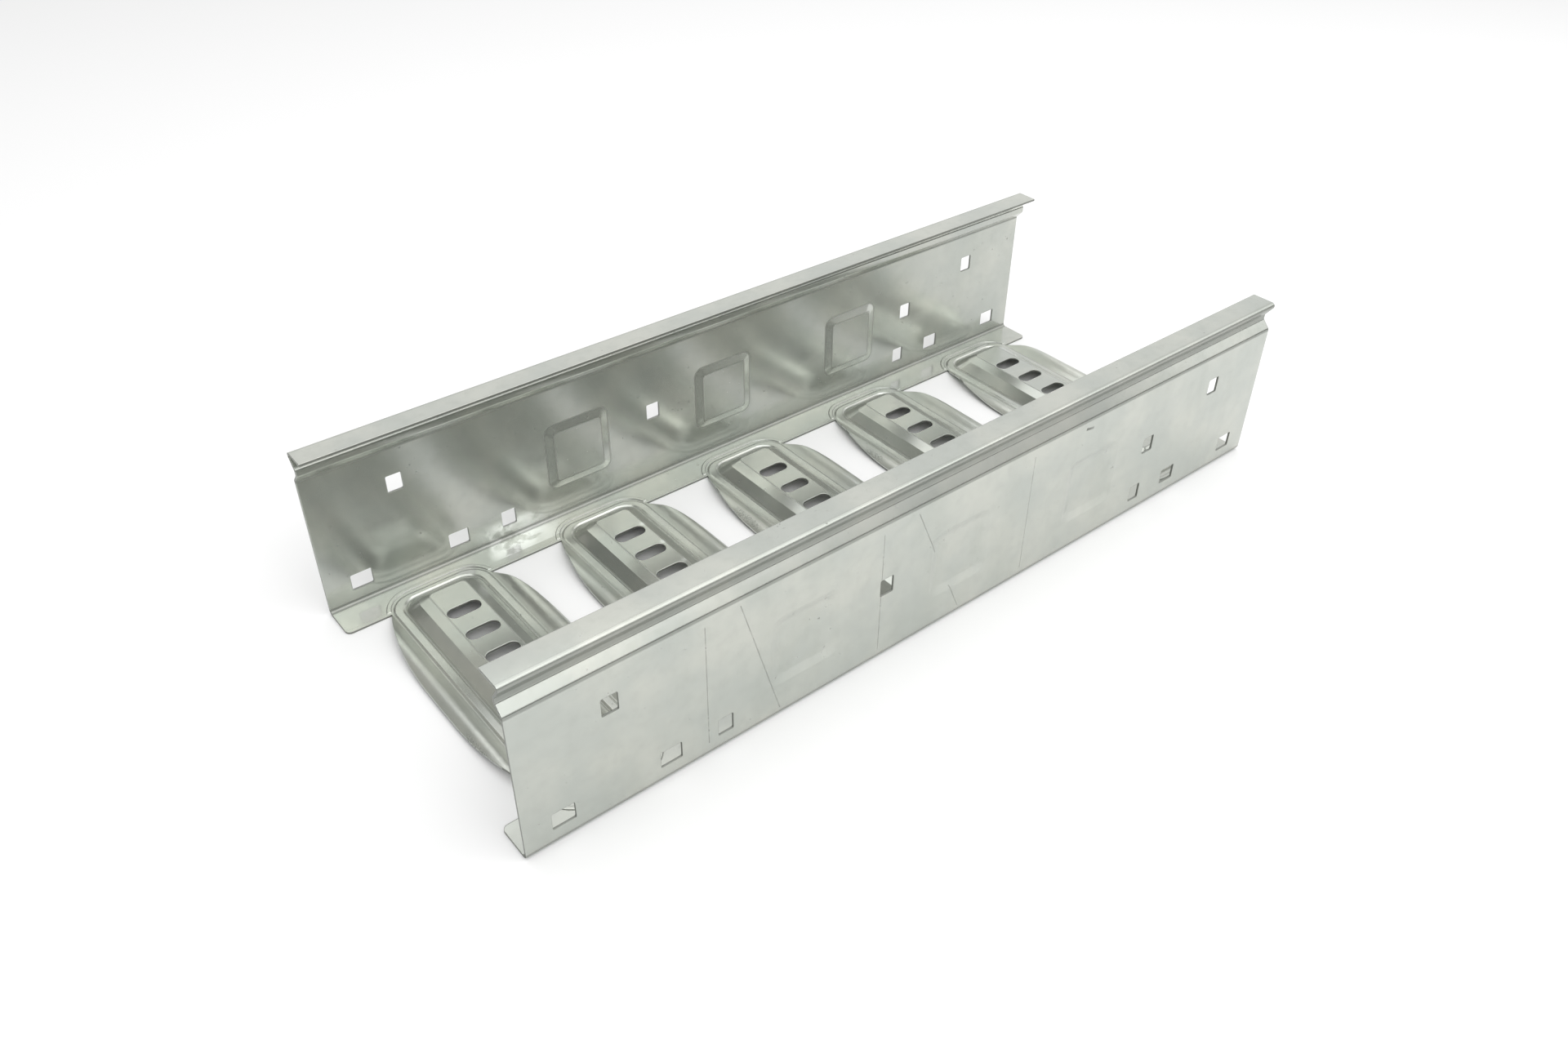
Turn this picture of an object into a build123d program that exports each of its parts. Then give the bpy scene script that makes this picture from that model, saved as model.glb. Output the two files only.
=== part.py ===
from build123d import *
from math import radians, tan
import os

# Cable ladder section: one pressed sheet of galvanised steel.
# Two mirrored side rails stand on inward flanges, and five raised, slotted rungs
# join the flanges.  Everything is the same sheet, so the section is one solid.
# X runs along the section, Y across it and Z up.  The origin is at the middle of
# the section, on the level of the flanges' underside, which it stands on.

# Overall sizes
section_length = 500.0
section_width = 200.0
rail_height = 101.0
sheet = 1.2

# Rungs, as many as fit between the spaces kept at the section's ends
rung_pitch = 100.0
rung_end_space = 45.0
rung_shift = 2.0
rung_waist = 56.0
flange_width = 21.5
flange_corner = 3.0

# Raised lips along both sides of a rung, half sizes from the rung's middle
lip_half = 39.9
crest_half = 33.6
lip_rise = 4.0
lip_level_half = 10.0
lip_swell = 2.5
lip_stations = 6

# Rim bead around a rung's panel
rim_half = 27.5
rim_band = 4.4
rim_end_gap = 12.0
rim_end_band = 3.2
rim_rise = 0.8
rim_slope = 1.2
rim_corner = 13.0

# Raised slotted panel of a rung
panel_rise = 8.6
panel_half = 10.4
panel_end_gap = 28.9
panel_corner = 3.0
shoulder_rise = 6.1
shoulder_half = 16.0
shoulder_end_gap = 24.4
shoulder_corner = 7.0
foot_half = 21.5
foot_end_gap = 16.7
foot_corner = 10.0

# Slots in a rung
slot_length = 18.2
slot_width = 8.0
slot_pitch = 20.0
slots_per_rung = 6
slot_offset = -0.8

# Fine ridge on the flanges around each rung's end
ridge_half = 30.6
ridge_end_gap = 7.1
ridge_corner = 17.5
ridge_band = 2.4
ridge_rise = 0.5
ridge_slope = 30.0
ridge_edge_gap = 1.5

# Rail section above the flange: a wall, a groove pressed inwards and a flat top strip
bend_radius = 2.6
head_height = 16.8
groove_depth = 4.5
groove_rise = 4.9
groove_lean = 36.0
groove_bend = 1.5
strip_width = 14.4
strip_bend = 1.45

# Rail holes, the same in both rails
end_hole_width = 8.5
end_hole_height = 10.0
wide_hole_width = 11.5
wide_hole_height = 9.5
low_row = 14.0
mid_row = 45.3
high_row = 63.2
outer_hole_end_gap = 19.6
high_hole_end_gap = 46.5
inner_hole_end_gap = 74.6
small_hole_end_gap = 104.6
near_mid_hole_gap = 201.6
far_mid_hole_gap = 100.4
hole_corner = 0.8

# Rectangular pads pressed into the rails beside the inner rungs, raised on the inside
pad_shift = 1.4
pad_width = 40.0
pad_height = 41.0
pad_band = 4.8
pad_depth = 1.3
pad_row = 40.6
pad_corner = 5.5

# Levels and places that follow from the sizes above
half_length = section_length / 2
half_width = section_width / 2
half_waist = rung_waist / 2
rung_count = int((section_length - 2 * rung_end_space) / rung_pitch) + 1
pad_count = rung_count - 2
wall_top = rail_height - head_height
flange_edge = half_width - flange_width
floor_depth = 10 * sheet
join_half = flange_edge + 2 * flange_width / 3
land_width = join_half - flange_edge
land_middle = flange_edge + land_width / 2
rim_end = half_width - rim_end_gap
groove_half = rim_half - rim_band
groove_end = rim_end - rim_end_band
ridge_end = half_width - ridge_end_gap
strip_inner = half_width - strip_width


def rung_places():
    """Middles of the rungs along the section."""
    first = rung_shift - rung_pitch * (rung_count - 1) / 2
    return [(first + rung_pitch * index, 0) for index in range(rung_count)]


def square_hole_places():
    """Middles of the narrow rail holes, as length and height."""
    places = [(near_mid_hole_gap - half_length, mid_row), (half_length - far_mid_hole_gap, mid_row)]
    for end in (-1, 1):
        places.append((end * (half_length - high_hole_end_gap), high_row))
        places.append((end * (half_length - small_hole_end_gap), low_row))
    return places


def wide_hole_places():
    """Middles of the wide rail holes, as length and height."""
    gaps = (outer_hole_end_gap, inner_hole_end_gap)
    return [(end * (half_length - gap), low_row) for end in (-1, 1) for gap in gaps]


def pad_places():
    """Middles of the rail pads along the section, one pad beside each inner rung."""
    first = pad_shift - rung_pitch * (pad_count - 1) / 2
    return [(first + rung_pitch * index, 0) for index in range(pad_count)]


def lip_reach(y):
    """Half width of the rung over its lips at a distance y from its middle."""
    run = min(1.0, (flange_edge - y) / (flange_edge - lip_level_half))
    return half_waist + (lip_half - half_waist) * (1 - (1 - run) ** lip_swell)


def lip_edge_points():
    """Plan points of a rung's edge, from the flange to the rung's middle."""
    step = (flange_edge - lip_level_half) / lip_stations
    distances = [flange_edge - step * index for index in range(lip_stations + 1)]
    return [(lip_reach(y), y) for y in distances] + [(lip_half, 0)]


# The upper body of one rung: everything under its top surface
with BuildPart() as rung_body:
    # Level middle with a raised, rounded lip along both sides
    lip_run = lip_half + sheet
    with BuildSketch(Plane.XZ.offset(-flange_edge)):
        with BuildLine():
            lip_crest = [(half_waist, sheet), (crest_half, sheet + lip_rise), (lip_run, sheet / 2)]
            left_crest = [(-x, z) for x, z in reversed(lip_crest)]
            Spline(*lip_crest, tangents=[(1, 0.5), (0.6, -1)])
            Line((half_waist, sheet), (-half_waist, sheet))
            Spline(*left_crest, tangents=[(0.6, 1), (1, -0.5)])
            Polyline(left_crest[0], (-lip_run, -floor_depth), (lip_run, -floor_depth), lip_crest[-1])
        make_face()
    extrude(amount=2 * flange_edge)
    # Land at both ends, which becomes a stretch of the flanges
    with BuildSketch(Plane.XY.offset(-floor_depth)):
        with Locations((0, land_middle), (0, -land_middle)):
            Rectangle(rung_waist, land_width)
    extrude(amount=floor_depth + sheet)
    # Rim bead around the panel
    with BuildSketch(Plane.XY.offset(sheet)):
        RectangleRounded(2 * rim_half, 2 * rim_end, rim_corner)
    with BuildSketch(Plane.XY.offset(sheet + rim_rise)):
        RectangleRounded(2 * (rim_half - rim_slope), 2 * (rim_end - rim_slope), rim_corner - rim_slope)
    loft()
    # Groove inside the rim bead
    with BuildSketch(Plane.XY.offset(sheet)):
        RectangleRounded(2 * (groove_half - rim_slope), 2 * (groove_end - rim_slope), foot_corner)
    with BuildSketch(Plane.XY.offset(sheet + rim_rise)):
        RectangleRounded(2 * groove_half, 2 * groove_end, foot_corner + rim_slope)
    loft(mode=Mode.SUBTRACT)
    # Steep foot of the raised panel
    with BuildSketch(Plane.XY.offset(sheet)):
        RectangleRounded(2 * foot_half, 2 * (half_width - foot_end_gap), foot_corner)
    with BuildSketch(Plane.XY.offset(sheet + shoulder_rise)):
        RectangleRounded(2 * shoulder_half, 2 * (half_width - shoulder_end_gap), shoulder_corner)
    loft()
    # Shoulder up to the flat panel
    with BuildSketch(Plane.XY.offset(sheet + shoulder_rise)):
        RectangleRounded(2 * shoulder_half, 2 * (half_width - shoulder_end_gap), shoulder_corner)
    with BuildSketch(Plane.XY.offset(sheet + panel_rise)):
        RectangleRounded(2 * panel_half, 2 * (half_width - panel_end_gap), panel_corner)
    loft()

# One rung as sheet: its upper body less the same body one sheet lower
with BuildPart() as rung_sheet:
    add(rung_body.part)
    with Locations((0, 0, -sheet)):
        add(rung_body.part, mode=Mode.SUBTRACT)
    # Bowed outline of the rung between the windows
    with BuildSketch(Plane.XY.offset(-floor_depth)):
        with BuildLine():
            outer = lip_edge_points()
            right_edge = outer + [(x, -y) for x, y in reversed(outer[:-1])]
            left_edge = [(-x, -y) for x, y in right_edge]
            Spline(*right_edge)
            Polyline(right_edge[-1], (half_waist, -join_half), (-half_waist, -join_half), left_edge[0])
            Spline(*left_edge)
            Polyline(left_edge[-1], (-half_waist, join_half), (half_waist, join_half), right_edge[0])
        make_face()
    extrude(amount=2 * floor_depth + panel_rise, mode=Mode.INTERSECT)
    # Slots through the raised panel
    with BuildSketch(Plane.XY.offset(sheet)):
        with Locations((slot_offset, 0)):
            with GridLocations(slot_pitch, slot_pitch, 1, slots_per_rung):
                SlotOverall(slot_length, slot_width)
    extrude(amount=2 * panel_rise, mode=Mode.SUBTRACT)

# The centre line of one rail's section, from the flange to the top strip
mid_sheet = sheet / 2
wall_middle = half_width - mid_sheet
strip_middle = rail_height - mid_sheet
groove_middle = wall_middle - groove_depth
strip_fold = wall_middle - strip_bend + strip_bend / tan(radians((90 - groove_lean) / 2))
groove_top = strip_middle - (strip_fold - groove_middle) / tan(radians(groove_lean))
rail_path_points = [
    (join_half, mid_sheet),
    (wall_middle, mid_sheet),
    (wall_middle, wall_top),
    (groove_middle, wall_top + groove_rise),
    (groove_middle, groove_top),
    (strip_fold, strip_middle),
    (strip_inner, strip_middle),
]
rail_bends = [bend_radius, groove_bend, groove_bend, groove_bend, strip_bend]

# Shape of one pressed pad, its foot on the ground plane
with BuildPart() as pad_body:
    with BuildSketch():
        RectangleRounded(pad_width, pad_height, pad_corner)
    with BuildSketch(Plane.XY.offset(pad_depth)):
        RectangleRounded(pad_width - 2 * pad_band, pad_height - 2 * pad_band, pad_corner - pad_band / 2)
    loft()

# One rail with its stretch of flange
with BuildPart() as rail_sheet:
    with BuildSketch(Plane.YZ.offset(-half_length)):
        with BuildLine():
            FilletPolyline(*rail_path_points, radius=rail_bends)
        trace(line_width=sheet)
    extrude(amount=section_length)
    # Flange between the rungs, with rounded corners at the section's ends
    with BuildSketch():
        with Locations((0, land_middle)):
            Rectangle(section_length, land_width)
        with Locations(*[(x, land_middle) for x, _ in rung_places()]):
            Rectangle(rung_waist, land_width, mode=Mode.SUBTRACT)
    extrude(amount=sheet)
    flange_ends = rail_sheet.edges().filter_by(Axis.Z).group_by(Axis.Y)[0].sort_by(Axis.X)
    fillet([flange_ends[0], flange_ends[-1]], radius=flange_corner)
    # Pads pressed inwards from the outer face
    outer_plane = Plane(origin=(0, half_width, pad_row), x_dir=(1, 0, 0), z_dir=(0, -1, 0))
    with BuildPart(outer_plane.offset(sheet)):
        with Locations(*pad_places()):
            add(pad_body.part)
    with BuildPart(outer_plane, mode=Mode.SUBTRACT):
        with Locations(*pad_places()):
            add(pad_body.part)
    # Holes for couplers and brackets
    with BuildSketch(Plane.XZ.offset(-half_width - sheet)):
        with Locations(*wide_hole_places()):
            RectangleRounded(wide_hole_width, wide_hole_height, hole_corner)
        with Locations(*square_hole_places()):
            RectangleRounded(end_hole_width, end_hole_height, hole_corner)
    extrude(amount=4 * sheet + pad_depth, mode=Mode.SUBTRACT)

with BuildPart() as ladder_sheet:
    add(rail_sheet.part)
    mirror(about=Plane.XZ)
    with Locations(*[(x, y, 0) for x, y in rung_places()]):
        add(rung_sheet.part)
    # Fine ridge around each rung's ends, raised on top and hollow below
    for level, change in ((sheet, Mode.ADD), (0, Mode.SUBTRACT)):
        with BuildSketch(Plane.XY.offset(level)):
            with Locations(*rung_places()):
                RectangleRounded(2 * ridge_half, 2 * ridge_end, ridge_corner)
                inner_half = ridge_half - ridge_band
                inner_end = ridge_end - ridge_band
                inner_corner = ridge_corner - ridge_band
                RectangleRounded(2 * inner_half, 2 * inner_end, inner_corner, mode=Mode.SUBTRACT)
            Rectangle(section_length, 2 * (flange_edge + ridge_edge_gap), mode=Mode.SUBTRACT)
        extrude(amount=ridge_rise, taper=ridge_slope, mode=change)

ladder_sheet.part.label = "ladder_sheet"
os.makedirs("parts", exist_ok=True)
export_step(ladder_sheet.part, "parts/ladder_sheet.step")
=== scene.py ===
"""Looks of the cable ladder section: galvanised sheet, studio stage and camera."""
from math import cos, radians, sin

import bmesh
import bpy
from bpy.props import FloatProperty, FloatVectorProperty, PointerProperty
from mathutils import Matrix, Vector


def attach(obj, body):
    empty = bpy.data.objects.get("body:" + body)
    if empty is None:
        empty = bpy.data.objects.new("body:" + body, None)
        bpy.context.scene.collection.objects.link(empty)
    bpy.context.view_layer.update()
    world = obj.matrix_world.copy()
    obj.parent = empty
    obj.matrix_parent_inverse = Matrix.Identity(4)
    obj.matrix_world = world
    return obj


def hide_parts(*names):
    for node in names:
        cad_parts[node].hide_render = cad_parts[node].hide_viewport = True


bl_info = {
    "name": "Cable ladder section",
    "version": (1, 0, 0),
    "blender": (4, 5, 0),
    "location": "View3D > Sidebar > Ladder",
    "description": "Dresses the pressed cable ladder section and sets it on a studio stage",
    "category": "Object",
}

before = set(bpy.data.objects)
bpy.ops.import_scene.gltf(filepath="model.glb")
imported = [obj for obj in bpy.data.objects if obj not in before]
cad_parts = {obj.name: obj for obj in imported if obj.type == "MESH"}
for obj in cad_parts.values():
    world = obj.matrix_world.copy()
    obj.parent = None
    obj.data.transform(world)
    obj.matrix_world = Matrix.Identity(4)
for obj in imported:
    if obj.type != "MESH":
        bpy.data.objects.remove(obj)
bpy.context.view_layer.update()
MM = 0.001

# Places on the pressed sheet that its finish follows
RUNG_PITCH = 100 * MM
RUNG_SHIFT = 2 * MM
HALF_WIDTH = 100 * MM
SHEET = 1.2 * MM
GROOVE_FOOT = 84.6 * MM
PANEL_OUTLINE = (10.4 * MM, 71.1 * MM, 3 * MM)
FOOT_OUTLINE = (21.5 * MM, 83.3 * MM, 10 * MM)
RIM_OUTLINE = (27.5 * MM, 88 * MM, 13 * MM)
RIDGE_OUTLINE = (30.6 * MM, 92.9 * MM, 17.5 * MM)
PAD_SHIFT = 1.4 * MM
PAD_ROW = 40.6 * MM
PAD_OUTLINE = (20 * MM, 20.5 * MM, 5.5 * MM)

# Marks on the near rail's outer face: two ends (x, z) and the width in millimetres, and how strong
SCRATCHES = (
    ((-155, 78), (-155, 8), 0.35, 0.5), ((-52, 78), (-52, 6), 0.35, 0.5), ((51, 78), (51, 6), 0.35, 0.45),
    ((-136, 80), (-114, 5), 0.4, 0.5), ((-30, 80), (4, 5), 0.4, 0.5), ((90, 79), (96, 78), 1.1, 0.9),
)

# Dirt on the lips of three rungs, as plan rectangles x0, x1, y0, y1 in millimetres
DIRT_ZONES = ((-38, -33, 14, 42), (62, 66.5, 20, 40), (-240, -235, -50, -20))

# Painted glints: small bright spots beside the second rung's slots, in millimetres
GLINT_SPOTS_X = -88.5
GLINT_SPOTS_Y = (53.5, 33.5, 13.5)

# Colours of the finish
SCUFFED_ZINC = (0.38, 0.40, 0.36, 1)
SMEARED_ZINC = (0.36, 0.39, 0.34, 1)
# Fresh zinc, also the colour of painted highlights and glints
FRESH_ZINC_AND_HIGHLIGHT = (0.80, 0.82, 0.79, 1)
# Grime, also the colour of painted shade
GRIME_AND_SHADE = (0.10, 0.105, 0.09, 1)
CUT_STEEL = (0.13, 0.135, 0.12, 1)

# Heights in the rails' heads
GROOVE_DEPTH = 4.2 * MM
GROOVE_TOP = 100.4 * MM
STRIP_FOOT = 99.9 * MM

# Folds sharper than this stay crisp, in degrees; the rungs' raised lips are rounder
FOLD_ANGLE = 11
LIP_FOLD_ANGLE = 40
LIP_START = 28.3 * MM
LIP_END = 78 * MM

# A cut edge is a face about as high as the sheet is thick, between sharp edges
SHARP_ANGLE = 60
CUT_HEIGHTS = (0.9, 1.15)

# Flat regions of at least this area in square metres outweigh the bends beside them
FLAT_AREA = 4e-5
FLAT_WEIGHT = 1000.0
SAME_PLANE = 0.99995

# Distance of the dark screen in metres
SCREEN_RADIUS = 1.7

# Height of its upper edge in metres, by its direction in degrees, chosen
# for where the metal's reflections turn dark
SCREEN_TOPS = (
    (120, 1.9), (138, 1.9), (156, 1.9), (174, 1.9), (192, 1.9), (210, 1.9), (224, 1.9),
    (228, 0.9), (242, 0.9), (256, 0.9), (270, 0.9), (276, 1.15), (283, 1.15), (291, 1.12),
    (303, 1.0), (316, 0.84), (328, 0.58), (340, 0.45),
)

# Slope by which the shading of the back rail's wall leans outwards; the wall itself is upright
WALL_LEAN = 0.035


class Value:
    """A socket that holds a number, with the sums that the finishes use."""

    def __init__(self, graph, socket):
        self.graph = graph
        self.socket = socket

    def _sum(self, operation, *others):
        return self.graph.add("ShaderNodeMath", {"operation": operation}, {
            index: other for index, other in enumerate((self,) + others)})

    def __add__(self, other):
        return self._sum("ADD", other)

    __radd__ = __add__

    def __mul__(self, other):
        return self._sum("MULTIPLY", other)

    __rmul__ = __mul__

    def __sub__(self, other):
        return self._sum("SUBTRACT", other)

    def __rsub__(self, other):
        return self.graph.number(other)._sum("SUBTRACT", self)

    def __neg__(self):
        return self * -1.0

    def above(self, other):
        return self._sum("GREATER_THAN", other)

    def absolute(self):
        return self._sum("ABSOLUTE")

    def least(self, other):
        return self._sum("MINIMUM", other)

    def most(self, other):
        return self._sum("MAXIMUM", other)

    def repeat(self, low, high):
        return self._sum("WRAP", high, low)

    def root(self):
        return self._sum("SQRT")

    def ramp(self, low, high, start=0.0, end=1.0):
        """Smooth change from start to end while this goes from low to high."""
        return self.graph.add("ShaderNodeMapRange", {"interpolation_type": "SMOOTHSTEP"}, {
            "Value": self, "From Min": low, "From Max": high, "To Min": start, "To Max": end})


class Graph:
    """The nodes of one finish."""

    def __init__(self, name):
        self.material = bpy.data.materials.new(name)
        self.material.use_nodes = True
        self.tree = self.material.node_tree
        self.tree.nodes.clear()
        self.output = self.tree.nodes.new("ShaderNodeOutputMaterial")
        self.spot = self.add("ShaderNodeTexCoord", {}, {}, "Object")

    def add(self, kind, settings, sockets, result=0):
        """Adds a node: its settings first, then the values or links of its sockets."""
        node = self.tree.nodes.new(kind)
        for key, value in settings.items():
            setattr(node, key, value)
        for key, value in sockets.items():
            socket = node.inputs[key]
            if isinstance(value, Value):
                self.tree.links.new(value.socket, socket)
            else:
                socket.default_value = value
        return Value(self, node.outputs[result])

    def number(self, value):
        return self.add("ShaderNodeMath", {"operation": "ADD"}, {0: value, 1: 0.0})

    def parts(self, vector):
        """The three numbers of a vector."""
        node = self.tree.nodes.new("ShaderNodeSeparateXYZ")
        self.tree.links.new(vector.socket, node.inputs[0])
        return [Value(self, node.outputs[index]) for index in range(3)]

    def noise(self, scale, detail=2.0, roughness=0.5, stretch=(1, 1, 1), offset=(0, 0, 0)):
        """Clouds of zero to one, finer with a larger scale."""
        place = self.add("ShaderNodeMapping", {}, {"Vector": self.spot, "Location": offset, "Scale": stretch})
        return self.add("ShaderNodeTexNoise", {}, {
            "Vector": place, "Scale": scale, "Detail": detail, "Roughness": roughness}, "Fac")

    def blend(self, amount, first, second):
        """A colour between two colours."""
        node = self.tree.nodes.new("ShaderNodeMix")
        node.data_type = "RGBA"
        for socket, value in ((node.inputs[0], amount), (node.inputs[6], first), (node.inputs[7], second)):
            if isinstance(value, Value):
                self.tree.links.new(value.socket, socket)
            else:
                socket.default_value = value
        return Value(self, node.outputs[2])

    def finish(self, shader):
        self.tree.links.new(shader.socket, self.output.inputs["Surface"])
        return self.material


def rung_place(graph):
    """Place across the nearest rung, and along it, both measured from its middle."""
    x, y, _ = graph.parts(graph.spot)
    return (x - RUNG_SHIFT).repeat(-RUNG_PITCH / 2, RUNG_PITCH / 2).absolute(), y.absolute()


def outline_gap(across, along, outline):
    """Distance outside a rectangle with round corners, negative inside it."""
    half, end, corner = outline
    side = (across - (half - corner)).most(0.0)
    tip = (along - (end - corner)).most(0.0)
    return (side * side + tip * tip).root() - corner


def sum_of_zones(x, y, zones):
    """One inside any of the given plan rectangles, soft at their edges."""
    total = 0.0
    for x0, x1, y0, y1 in zones:
        inside = (x - x0 * MM).ramp(0, 1.5 * MM) * (x1 * MM - x).ramp(0, 1.5 * MM)
        total = inside * (y - y0 * MM).ramp(0, 6 * MM) * (y1 * MM - y).ramp(0, 6 * MM) + total
    return total


def scratch(along, up, start, end, width):
    """A straight scratch between two places on a wall, one where it is deepest."""
    (x0, z0), (x1, z1) = start, end
    length = ((x1 - x0) ** 2 + (z1 - z0) ** 2) ** 0.5
    step_x, step_z = (x1 - x0) / length, (z1 - z0) / length
    run = (along - x0) * step_x + (up - z0) * step_z
    off = ((along - x0) * step_z - (up - z0) * step_x).absolute()
    return off.ramp(width * 0.3, width, 1, 0) * run.above(0) * (length - run).above(0)


def galvanised_finish(looks):
    """Hot-dip galvanised sheet: cloudy zinc, fine scratches, dirt, painted shade along some folds and edges,
    and painted highlights and glints.
    """
    graph = Graph("galvanised_sheet")
    x, y, z = graph.parts(graph.spot)
    across, along = rung_place(graph)
    side = y.absolute()
    cloud = graph.noise(22, 3, 0.55)
    fine = graph.noise(160, 3, 0.6, offset=(0.3, 0.1, 0.7))
    patch = graph.noise(55, 4, 0.6, stretch=(0.5, 1, 1), offset=(0.2, 0.5, 0.1))
    cut = graph.add("ShaderNodeAttribute", {"attribute_name": "cut_edge"}, {}, "Fac")
    outer = graph.add("ShaderNodeAttribute", {"attribute_name": "outer_side"}, {}, "Fac")

    tone = graph.blend(cloud.ramp(0.35, 0.68), (*looks.zinc_dark, 1), (*looks.zinc_light, 1))
    tone = graph.blend(fine.ramp(0.4, 0.75) * 0.2, tone, SCUFFED_ZINC)
    smear = graph.noise(46, 4, 0.6, stretch=(1, 1, 0.3), offset=(0.7, 0.2, 0.4)).ramp(0.45, 0.7)
    tone = graph.blend(smear * (side - 97 * MM).above(0) * 0.16, tone, SMEARED_ZINC)

    # Thin lines of painted shade: along the bend, under the groove, in it, on the strip's crown, round panel,
    # foot, rim and ridge
    bend = (side - 96.4 * MM).ramp(0, 0.9 * MM) * (3.6 * MM - z).ramp(0, 0.8 * MM)
    under = (z - GROOVE_FOOT + 0.8 * MM).absolute().ramp(0.2 * MM, 1.1 * MM, 1, 0)
    groove = (z - GROOVE_FOOT - GROOVE_DEPTH).ramp(0, 1.2 * MM) * (GROOVE_TOP - z).ramp(0, 0.7 * MM)
    groove = groove * (side - 95 * MM).above(0) * outer
    crown = (z - STRIP_FOOT).above(0) * (side - 97 * MM).ramp(0, 1.2 * MM)
    panel = outline_gap(across, along, PANEL_OUTLINE).absolute().ramp(0.1 * MM, 0.6 * MM, 1, 0)
    foot = outline_gap(across, along, FOOT_OUTLINE).absolute().ramp(0.2 * MM, 0.9 * MM, 1, 0)
    rim = outline_gap(across, along, RIM_OUTLINE).absolute().ramp(0.1 * MM, 0.6 * MM, 1, 0)
    ridge = outline_gap(across, along, RIDGE_OUTLINE)
    ridge_inner = (ridge + 2.4 * MM).absolute().ramp(0.1 * MM, 0.5 * MM, 1, 0)
    ridge = ridge.absolute().ramp(0.1 * MM, 0.5 * MM, 1, 0) + ridge_inner
    ridge = ridge * (side - 80 * MM).above(0)
    rung_lines = panel * 0.4 + foot * 0.45 + rim * 0.3 + ridge * 0.35
    rung_lines = rung_lines * (14 * MM - z).above(0) * patch.ramp(0.25, 0.6, 0.45, 1.0)
    # On the rails' inner faces: a painted highlight in a ring inside each pad, and painted shade lines at its
    # outline and 5 mm inside it
    pad_across = (x - PAD_SHIFT).repeat(-RUNG_PITCH / 2, RUNG_PITCH / 2).absolute()
    pad = outline_gap(pad_across, (z - PAD_ROW).absolute(), PAD_OUTLINE)
    inner = (1 - outer) * (side - 94 * MM).above(0) * (170 * MM - x.absolute()).above(0)
    pad_highlight = pad.ramp(-4.6 * MM, -3.6 * MM) * pad.ramp(-1.2 * MM, 0, 1, 0) * inner
    pad_line = pad.absolute().ramp(0.2 * MM, 0.8 * MM, 1, 0)
    pad_line = pad_line + (pad + 5 * MM).absolute().ramp(0.2 * MM, 0.7 * MM, 1, 0)
    rung_lines = rung_lines + pad_line * inner * 0.28
    lines = bend * 0.5 + under * 0.5 + groove * 0.47 + crown * 0.2 + rung_lines

    # Scratches and marks on the outer face of the near rail
    front = (-y).above(HALF_WIDTH - 0.6 * MM)
    marks = 0.0
    for start, end, width, depth in SCRATCHES:
        line = scratch(x, z, [v * MM for v in start], [v * MM for v in end], width * MM)
        marks = line * depth + marks
    marks = marks * front * fine.ramp(0.3, 0.55, 0.3, 1.0)

    # Dirt on the lips of three rungs; bright patches where the back rail meets its flange, partly fresh zinc
    # and partly a painted highlight
    lip = sum_of_zones(x, y, DIRT_ZONES)
    dirt = lip * graph.noise(1300, 2, 0.6, offset=(0.1, 0.8, 0.3)).ramp(0.40, 0.64) * 0.7
    fresh_zinc_and_glint = (y - 84 * MM).above(0) * (z * -1 + 16 * MM).ramp(0, 6 * MM) * (1 - outer)
    fresh_zinc_and_glint = fresh_zinc_and_glint * (x + 168 * MM).ramp(0, 14 * MM) * (-108 * MM - x).ramp(0, 30 * MM)
    fresh_zinc_and_glint = fresh_zinc_and_glint * graph.noise(90, 3, 0.6, offset=(0.6, 0.3, 0.9)).ramp(0.42, 0.52)
    # Painted glints beside the second rung's slots
    for spot_y in GLINT_SPOTS_Y:
        off_x, off_y = x - GLINT_SPOTS_X * MM, y - spot_y * MM
        off = (off_x * off_x + off_y * off_y).root()
        fresh_zinc_and_glint = fresh_zinc_and_glint + off.ramp(0.8 * MM, 2.4 * MM, 1, 0)

    # Specks of dirt, and painted shade over the third and fourth rungs
    speck = graph.noise(420, 2, 0.5, offset=(0.9, 0.2, 0.4)).ramp(0.70, 0.76)
    middle_rung_shade = (x + 55 * MM).ramp(0, 60 * MM) * (150 * MM - x).ramp(0, 20 * MM)
    middle_rung_shade = middle_rung_shade * side.ramp(70 * MM, 90 * MM, 1, 0)
    # Scratches, dirt and specks, together with the painted shade lines and the painted shade over two rungs
    grime_and_shade = (lines + middle_rung_shade * 0.05 + marks + dirt * 0.8 + speck * 0.5 * patch.ramp(0.45, 0.65)).least(1.0)
    # Bright zinc, with painted highlights on the pads, on the back flange and beside the slots
    tone = graph.blend((fresh_zinc_and_glint * 0.8 + pad_highlight * 0.12).least(1.0), tone, FRESH_ZINC_AND_HIGHLIGHT)
    tone = graph.blend(grime_and_shade, tone, GRIME_AND_SHADE)
    tone = graph.blend(cut * 0.75, tone, CUT_STEEL)
    metal = looks.metal_share - grime_and_shade * 0.5 - cut * 0.35
    lips = across.ramp(25 * MM, 29 * MM) * side.ramp(76 * MM, 86 * MM, 1, 0)
    rough = 0.15 + cloud * 0.07 + fine * 0.03 + grime_and_shade * 0.35 + cut * 0.25 + lips * 0.11
    height = cloud * 0.6 + fine * 0.05
    soft = graph.add("ShaderNodeBevel", {"samples": 8}, {"Radius": looks.fold_radius})
    normal = graph.add("ShaderNodeBump", {}, {
        "Height": height, "Strength": 0.1, "Distance": 0.0006, "Normal": soft})
    shader = graph.add("ShaderNodeBsdfPrincipled", {}, {
        "Base Color": tone, "Metallic": metal.most(0.0), "Roughness": rough.least(0.9), "Normal": normal})
    return graph.finish(shader)


def floor_finish(looks):
    """Matt pale floor, one colour all over, that keeps the section's shadow."""
    graph = Graph("studio_floor")
    return graph.finish(graph.add("ShaderNodeBsdfDiffuse", {}, {"Color": (*looks.floor_colour, 1)}))


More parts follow.
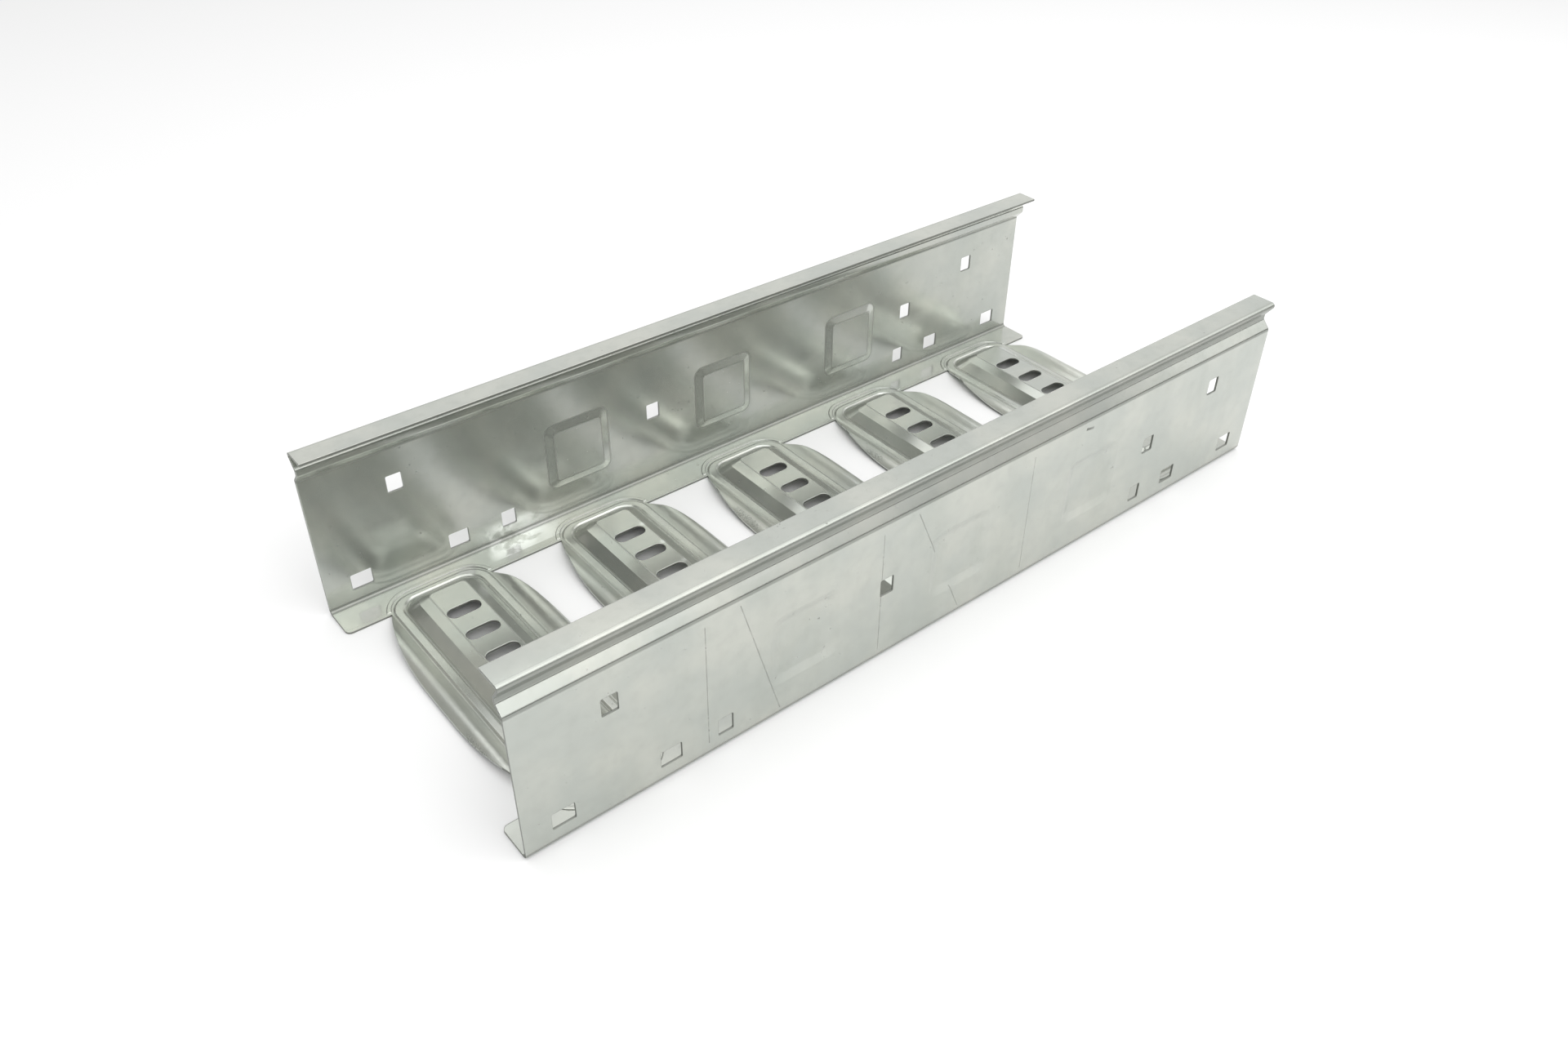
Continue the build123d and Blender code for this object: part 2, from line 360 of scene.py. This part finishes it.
def screen_finish(looks):
    """Cloth of the shade screen, dark before the section and grey behind it."""
    graph = Graph("shade_cloth")
    y = graph.parts(graph.spot)[1]
    weave = graph.noise(300, 2, 0.5) * 0.1
    tone = graph.blend((y + weave).ramp(-0.4, 0.9), (0.12, 0.12, 0.11, 1), (0.40, 0.40, 0.37, 1))
    return graph.finish(graph.add("ShaderNodeBsdfDiffuse", {}, {"Color": tone}))


class LadderLooks(bpy.types.PropertyGroup):
    """Colours and small sizes of the galvanised sheet and its stage."""

    zinc_light: FloatVectorProperty(
        name="Zinc light", description="Colour of the brighter clouds in the zinc",
        subtype="COLOR", size=3, min=0, max=1, default=(0.555, 0.566, 0.518))
    zinc_dark: FloatVectorProperty(
        name="Zinc dark", description="Colour of the duller clouds in the zinc",
        subtype="COLOR", size=3, min=0, max=1, default=(0.484, 0.507, 0.471))
    metal_share: FloatProperty(
        name="Bare metal", description="Share of bright metal against dull zinc patina",
        subtype="FACTOR", min=0, max=1, default=0.78)
    fold_radius: FloatProperty(
        name="Fold radius", description="How softly the pressed folds turn",
        unit="LENGTH", subtype="DISTANCE", min=0, max=0.005, default=0.0006)
    floor_colour: FloatVectorProperty(
        name="Floor colour", description="Colour of the plain floor",
        subtype="COLOR", size=3, min=0, max=1, default=(0.86, 0.86, 0.86))


class LadderStage(bpy.types.PropertyGroup):
    """Camera and lamps."""

    camera_place: FloatVectorProperty(
        name="Camera place", description="Where the camera stands",
        unit="LENGTH", subtype="TRANSLATION", size=3, default=(-0.385035, -0.434234, 0.442879))
    camera_yaw: FloatProperty(
        name="Camera yaw", description="Direction of view in plan, from the section's length",
        unit="ROTATION", subtype="ANGLE", default=0.86435)
    camera_pitch: FloatProperty(
        name="Camera pitch", description="How far the view points down",
        unit="ROTATION", subtype="ANGLE", default=0.64503)
    camera_roll: FloatProperty(
        name="Camera roll", description="Turn about the line of view",
        unit="ROTATION", subtype="ANGLE", default=0.02352)
    camera_lens: FloatProperty(
        name="Focal length", description="Lens on a 36 mm wide sensor, in millimetres",
        min=10, max=200, default=29.4987)
    camera_shift: FloatVectorProperty(
        name="Lens shift", description="Middle of the picture off the lens's middle",
        size=2, default=(-0.014775, -0.005127))
    softbox_power: FloatProperty(
        name="Softbox power", description="Strength of the large overhead lamp, in watts",
        min=0, default=9.0)
    ceiling_power: FloatProperty(
        name="Ceiling light power", description="Strength of the lamp above the camera, in watts",
        min=0, default=5.4)
    window_power: FloatProperty(
        name="Window light power", description="Strength of the lamp before the near rail, in watts",
        min=0, default=6.1)
    room_level: FloatProperty(
        name="Room level", description="Brightness of the room's walls",
        min=0, max=2, default=0.8)


def merged_copy(name, node):
    """A copy of a CAD node with its triangles joined."""
    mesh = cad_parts[node].data.copy()
    mesh.name = name
    shape = bmesh.new()
    shape.from_mesh(mesh)
    bmesh.ops.remove_doubles(shape, verts=shape.verts, dist=1e-6)
    shape.to_mesh(mesh)
    shape.free()
    piece = bpy.data.objects.new(name, mesh)
    bpy.context.scene.collection.objects.link(piece)
    return piece


def mark_faces(piece):
    """Marks the faces where the sheet was cut, and those that look away from the middle."""
    shape = bmesh.new()
    shape.from_mesh(piece.data)
    steep = radians(SHARP_ANGLE)
    folds = [edge for edge in shape.edges if len(edge.link_faces) == 2]
    sharp = {edge.index for edge in folds if edge.calc_face_angle() > steep}
    rim = {vert.index for vert in shape.verts if any(edge.index in sharp for edge in vert.link_edges)}
    marks, sides = [], []
    for face in shape.faces:
        mark = 0.0
        for edge in face.edges:
            if edge.index in sharp:
                height = 2 * face.calc_area() / edge.calc_length()
                far = [vert for vert in face.verts if vert not in edge.verts]
                thick = CUT_HEIGHTS[0] * SHEET < height < CUT_HEIGHTS[1] * SHEET
                if thick and all(vert.index in rim for vert in far):
                    mark = 1.0
        marks.append(mark)
        sides.append(float(face.normal.y * face.calc_center_median().y > 0))
    shape.free()
    for name, values in (("cut_edge", marks), ("outer_side", sides)):
        layer = piece.data.attributes.new(name, "FLOAT", "FACE")
        layer.data.foreach_set("value", values)


def crease(edge):
    """True where two faces meet in a fold that stays crisp, and not in a rounded bend."""
    if len(edge.link_faces) != 2:
        return True
    angle = edge.calc_face_angle()
    middle = (edge.verts[0].co + edge.verts[1].co) / 2
    across = abs((middle.x - RUNG_SHIFT + RUNG_PITCH / 2) % RUNG_PITCH - RUNG_PITCH / 2)
    on_lip = across > LIP_START and abs(middle.y) < LIP_END
    return angle > radians(LIP_FOLD_ANGLE if on_lip else FOLD_ANGLE)


def flat_areas(shape):
    """Area of the flat region that each face lies in."""
    areas = {}
    for start in shape.faces:
        if start.index in areas:
            continue
        region, queue = {start.index}, [start]
        total = 0.0
        while queue:
            face = queue.pop()
            total += face.calc_area()
            for edge in face.edges:
                for other in edge.link_faces:
                    if other.index not in region and other.normal.dot(start.normal) > SAME_PLANE:
                        region.add(other.index)
                        queue.append(other)
        for index in region:
            areas[index] = total
    return areas


def level_normals(piece):
    """Smooths the rounded bends, and keeps flat faces flat up to where a bend starts."""
    mesh = piece.data
    shape = bmesh.new()
    shape.from_mesh(mesh)
    shape.faces.ensure_lookup_table()
    creases = {edge.index for edge in shape.edges if crease(edge)}
    areas = flat_areas(shape)
    normals = [None] * len(mesh.loops)
    for vert in shape.verts:
        left = set(vert.link_loops)
        while left:
            fan, queue = [], [left.pop()]
            while queue:
                loop = queue.pop()
                fan.append(loop)
                for edge in (loop.edge, loop.link_loop_prev.edge):
                    if edge.index in creases:
                        continue
                    for other in [other for other in left if other.face in edge.link_faces]:
                        left.discard(other)
                        queue.append(other)
            total = Vector()
            for loop in fan:
                weight = loop.calc_angle() * (1.0 if areas[loop.face.index] < FLAT_AREA else FLAT_WEIGHT)
                total += loop.face.normal * weight
            total.normalize()
            if vert.co.y > HALF_WIDTH - 6 * MM and total.y < -0.9:
                total.z += WALL_LEAN
                total.normalize()
            for loop in fan:
                normals[loop.index] = total
    shape.free()
    mesh.normals_split_custom_set(normals)


class OBJECT_OT_ladder_sheet(bpy.types.Operator):
    """Makes the pressed sheet with its galvanised finish"""

    bl_idname = "object.ladder_sheet"
    bl_label = "Pressed sheet"

    def execute(self, context):
        piece = merged_copy("pressed_sheet", "ladder_sheet")
        piece.data.materials.clear()
        piece.data.materials.append(galvanised_finish(context.scene.ladder_looks))
        for polygon in piece.data.polygons:
            polygon.use_smooth = True
        mark_faces(piece)
        level_normals(piece)
        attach(piece, "root")
        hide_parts("ladder_sheet")
        return {"FINISHED"}


def area_lamp(name, place, target, size, power, colour=(1, 1, 1)):
    lamp = bpy.data.lights.new(name, "AREA")
    lamp.shape = "RECTANGLE"
    lamp.size, lamp.size_y = size
    lamp.energy = power
    lamp.color = colour
    thing = bpy.data.objects.new(name, lamp)
    bpy.context.scene.collection.objects.link(thing)
    thing.location = place
    aim = Vector(target) - Vector(place)
    thing.rotation_euler = aim.to_track_quat("-Z", "Y").to_euler()
    return thing


class SCENE_OT_ladder_stage(bpy.types.Operator):
    """Makes the floor, the room, the lamps and the camera"""

    bl_idname = "scene.ladder_stage"
    bl_label = "Studio stage"

    def execute(self, context):
        scene = context.scene
        stage = scene.ladder_stage
        self.floor(scene)
        self.room(scene, stage)
        area_lamp("softbox", (0.1, 0.2, 1.6), (0, 0, 0), (1.6, 1.6), stage.softbox_power)
        area_lamp("side_light", (1.3, -0.5, 0.9), (0, 0, 0.05), (0.9, 0.9), stage.softbox_power * 0.2)
        area_lamp("ceiling_light", (-0.48, -1.2, 1.4), (0, 0, 0.05), (1.3, 0.8), stage.ceiling_power)
        area_lamp("window_light", (0.40, -0.83, 1.17), (0, 0, 0.05), (1.4, 1.05), stage.window_power)
        self.shade_screen(scene)
        self.camera(scene, stage)
        return {"FINISHED"}

    def floor(self, scene):
        mesh = bpy.data.meshes.new("studio_floor")
        reach = 6.0
        corners = [(-reach, -reach, 0), (reach, -reach, 0), (reach, reach, 0), (-reach, reach, 0)]
        mesh.from_pydata(corners, [], [(0, 1, 2, 3)])
        floor = bpy.data.objects.new("studio_floor", mesh)
        scene.collection.objects.link(floor)
        mesh.materials.append(floor_finish(scene.ladder_looks))

    def shade_screen(self, scene):
        """A curved dark screen round the near side, which only the metal's reflections show."""
        shape = bmesh.new()
        below, above = None, None
        for degrees, top in SCREEN_TOPS:
            turn = radians(degrees)
            spot = Vector((cos(turn), sin(turn), 0)) * SCREEN_RADIUS
            low, high = shape.verts.new(spot), shape.verts.new(spot + Vector((0, 0, top)))
            if below:
                shape.faces.new((below, low, high, above))
            below, above = low, high
        mesh = bpy.data.meshes.new("shade_screen")
        shape.to_mesh(mesh)
        shape.free()
        mesh.materials.append(screen_finish(scene.ladder_looks))
        screen = bpy.data.objects.new("shade_screen", mesh)
        scene.collection.objects.link(screen)
        screen.visible_camera = False
        screen.visible_diffuse = False
        screen.visible_shadow = False

    def room(self, scene, stage):
        world = bpy.data.worlds.new("studio_room")
        scene.world = world
        world.use_nodes = True
        tree = world.node_tree
        tree.nodes.clear()
        rays = tree.nodes.new("ShaderNodeLightPath")
        seen = tree.nodes.new("ShaderNodeMath")
        seen.operation = "MAXIMUM"
        tree.links.new(rays.outputs["Is Camera Ray"], seen.inputs[0])
        tree.links.new(rays.outputs["Is Glossy Ray"], seen.inputs[1])
        also = tree.nodes.new("ShaderNodeMath")
        also.operation = "MAXIMUM"
        tree.links.new(seen.outputs[0], also.inputs[0])
        tree.links.new(rays.outputs["Is Transmission Ray"], also.inputs[1])
        level = tree.nodes.new("ShaderNodeMapRange")
        level.inputs["To Min"].default_value = stage.room_level
        level.inputs["To Max"].default_value = 1.0
        tree.links.new(also.outputs[0], level.inputs["Value"])
        sky = tree.nodes.new("ShaderNodeBackground")
        tree.links.new(level.outputs[0], sky.inputs["Strength"])
        sky.inputs["Color"].default_value = (1, 1, 1, 1)
        out = tree.nodes.new("ShaderNodeOutputWorld")
        tree.links.new(sky.outputs[0], out.inputs["Surface"])

    def camera(self, scene, stage):
        lens = bpy.data.cameras.new("photo_camera")
        lens.sensor_width = 36
        lens.lens = stage.camera_lens
        lens.shift_x, lens.shift_y = stage.camera_shift
        lens.clip_start = 0.01
        camera = bpy.data.objects.new("photo_camera", lens)
        scene.collection.objects.link(camera)
        yaw, pitch, roll = stage.camera_yaw, stage.camera_pitch, stage.camera_roll
        ahead = Vector((cos(yaw) * cos(pitch), sin(yaw) * cos(pitch), -sin(pitch)))
        level = ahead.cross(Vector((0, 0, 1))).normalized()
        up = level.cross(ahead)
        right = level * cos(roll) + up * sin(roll)
        top = right.cross(ahead)
        turn = Matrix((right, top, -ahead)).transposed()
        camera.matrix_world = Matrix.Translation(stage.camera_place) @ turn.to_4x4()
        scene.camera = camera


class VIEW3D_PT_ladder(bpy.types.Panel):
    """Lists the settings and the steps that make the section"""

    bl_idname = "VIEW3D_PT_ladder"
    bl_label = "Cable ladder section"
    bl_space_type = "VIEW_3D"
    bl_region_type = "UI"
    bl_category = "Ladder"

    def draw(self, context):
        layout = self.layout
        for settings in (context.scene.ladder_looks, context.scene.ladder_stage):
            box = layout.box()
            for name in settings.__annotations__:
                box.prop(settings, name)
        layout.operator(OBJECT_OT_ladder_sheet.bl_idname)
        layout.operator(SCENE_OT_ladder_stage.bl_idname)


CLASSES = (LadderLooks, LadderStage, OBJECT_OT_ladder_sheet, SCENE_OT_ladder_stage, VIEW3D_PT_ladder)


def register():
    for kind in CLASSES:
        bpy.utils.register_class(kind)
    bpy.types.Scene.ladder_looks = PointerProperty(type=LadderLooks)
    bpy.types.Scene.ladder_stage = PointerProperty(type=LadderStage)


def unregister():
    del bpy.types.Scene.ladder_stage
    del bpy.types.Scene.ladder_looks
    for kind in reversed(CLASSES):
        bpy.utils.unregister_class(kind)


def main():
    register()
    scene = bpy.context.scene
    scene.view_settings.view_transform = "Standard"
    bpy.ops.object.ladder_sheet()
    bpy.ops.scene.ladder_stage()


if __name__ == "__main__":
    main()
